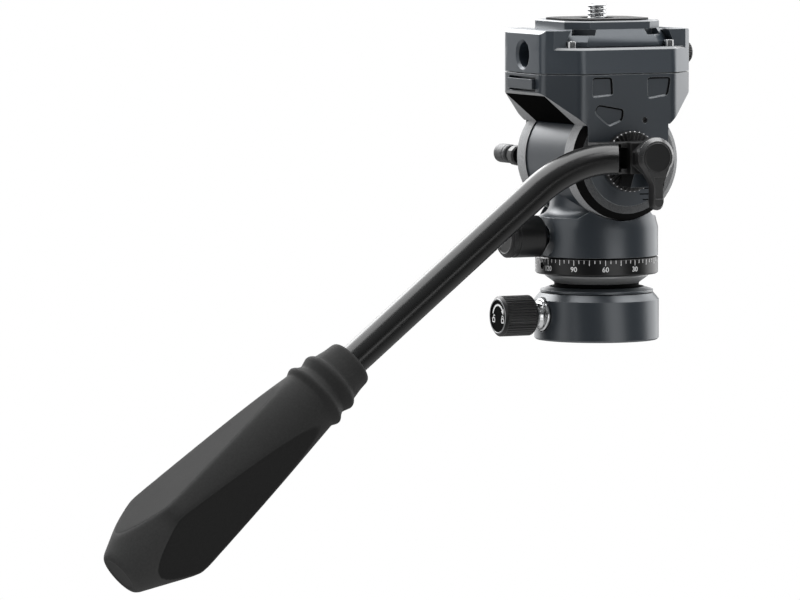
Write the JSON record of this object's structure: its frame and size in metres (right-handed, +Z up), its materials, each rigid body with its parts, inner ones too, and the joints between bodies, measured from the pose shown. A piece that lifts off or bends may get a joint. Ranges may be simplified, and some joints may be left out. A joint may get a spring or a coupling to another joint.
{
  "type": "fluid video head",
  "caption": "Compact fluid head with a levelling base, panning turret, tilting cradle, side handle with rubber grip and a sliding quick-release camera plate.",
  "frame": {"origin": "centre of the round base's underside, on the tripod screw's axis", "axes": "+Z up along the pan axis, +X towards the lens end of the camera plate, +Y away from the handle's side; the tilt axis is parallel to Y"},
  "size_m": [0.2208, 0.0838, 0.1776],
  "materials": {
    "body": "satin blue-grey anodised",
    "black_metal": "satin black anodised",
    "black_tube": "satin black",
    "steel": "turned, bright",
    "brass": "turned",
    "rubber": "matt",
    "polymer": "slippery bearing plastic"
  },
  "bodies": {
    "base": {"base_cup": "body", "tripod_bush": "steel", "base_retainer": "body", "level_collar": "steel"},
    "liner": {"ball_liner": "polymer"},
    "level_stage": {"level_ball": "body", "scale_ring": "black_metal", "pan_spindle": "steel", "pan_nut": "steel"},
    "level_lock": {"level_knob": "black_metal", "level_screw": "steel"},
    "level_brake": {"level_pad": "brass"},
    "pan_stage": {"turret": "body", "pan_disc": "polymer", "drag_cartridge": "black_metal", "bearing_near": "steel", "bearing_far": "steel"},
    "pan_lock": {"pan_knob": "black_metal", "pan_screw": "steel"},
    "pan_brake": {"pan_pad": "brass"},
    "tilt_stage": {"cradle": "body", "tilt_shaft": "steel", "cheek_rosette": "body", "end_rail": "body", "clamp_body": "body", "stop_pin_front": "steel", "stop_pin_back": "steel"},
    "clamp_jaw": {"jaw": "steel"},
    "jaw_drive": {"jaw_knob": "black_metal", "jaw_screw": "steel"},
    "quick_plate": {"plate": "body", "plate_pad": "rubber"},
    "plate_screw": {"camera_screw": "steel"},
    "handle": {"handle_arm": "black_metal", "handle_tube": "black_tube", "grip": "rubber"},
    "handle_clamp": {"clamp_lever": "black_metal", "clamp_screw": "steel"},
    "tilt_lock": {"lock_lever": "black_metal", "lock_grip": "steel", "lock_screw": "steel"}
  },
  "joints": [
    {"name": "level_roll", "type": "hinge", "parent": "base", "child": "liner", "pos_m": [0, 0, 0.012], "axis": [1, 0, 0], "range_deg": [-4.5, 4.5]},
    {"name": "level_pitch", "type": "hinge", "parent": "liner", "child": "level_stage", "pos_m": [0, 0, 0.012], "axis": [0, 1, 0], "range_deg": [-4.5, 4.5]},
    {"name": "level_knob_turn", "type": "hinge", "parent": "base", "child": "level_lock", "pos_m": [-0.03, 0, 0.0083], "axis": [-1, 0, 0], "range_deg": [0, 90]},
    {"name": "level_pad_slide", "type": "slide", "parent": "base", "child": "level_brake", "axis": [-1, 0, 0], "range_m": [0, 0.00025]},
    {"name": "pan_turn", "type": "hinge", "parent": "level_stage", "child": "pan_stage", "pos_m": [0, 0, 0.027], "axis": [0, 0, 1], "continuous": true},
    {"name": "pan_knob_turn", "type": "hinge", "parent": "pan_stage", "child": "pan_lock", "pos_m": [-0.027, 0, 0.0335], "axis": [-1, 0, 0], "range_deg": [0, 90]},
    {"name": "pan_pad_slide", "type": "slide", "parent": "pan_stage", "child": "pan_brake", "axis": [-1, 0, 0], "range_m": [0, 0.00025]},
    {"name": "tilt_turn", "type": "hinge", "parent": "pan_stage", "child": "tilt_stage", "pos_m": [0, 0, 0.058], "axis": [0, 1, 0], "range_deg": [-60, 70]},
    {"name": "tilt_lock_turn", "type": "hinge", "parent": "tilt_stage", "child": "tilt_lock", "pos_m": [0, 0.0235, 0.058], "axis": [0, 1, 0], "range_deg": [0, 90]},
    {"name": "handle_turn", "type": "hinge", "parent": "tilt_stage", "child": "handle", "pos_m": [0, -0.025, 0.058], "axis": [0, 1, 0], "continuous": true},
    {"name": "clamp_lever_turn", "type": "hinge", "parent": "handle", "child": "handle_clamp", "pos_m": [0, -0.04, 0.058], "axis": [0, -1, 0], "range_deg": [0, 90]},
    {"name": "jaw_knob_turn", "type": "hinge", "parent": "tilt_stage", "child": "jaw_drive", "pos_m": [0.03, 0, 0.0913], "axis": [1, 0, 0], "range_deg": [0, 360]},
    {"name": "jaw_slide", "type": "slide", "parent": "tilt_stage", "child": "clamp_jaw", "axis": [1, 0, 0], "range_m": [0, 0.001]},
    {"name": "plate_slide", "type": "slide", "parent": "tilt_stage", "child": "quick_plate", "axis": [0, 1, 0], "range_m": [0, 0.04]},
    {"name": "camera_screw_turn", "type": "hinge", "parent": "quick_plate", "child": "plate_screw", "pos_m": [0, 0, 0.1], "axis": [0, 0, 1], "continuous": true}
  ],
  "couplings": [
    {"joint": "level_knob_turn", "follows": "level_pad_slide", "rad_per_m": 6283.1},
    {"joint": "pan_knob_turn", "follows": "pan_pad_slide", "rad_per_m": 6283.1},
    {"joint": "jaw_knob_turn", "follows": "jaw_slide", "rad_per_m": 6283.1}
  ]
}
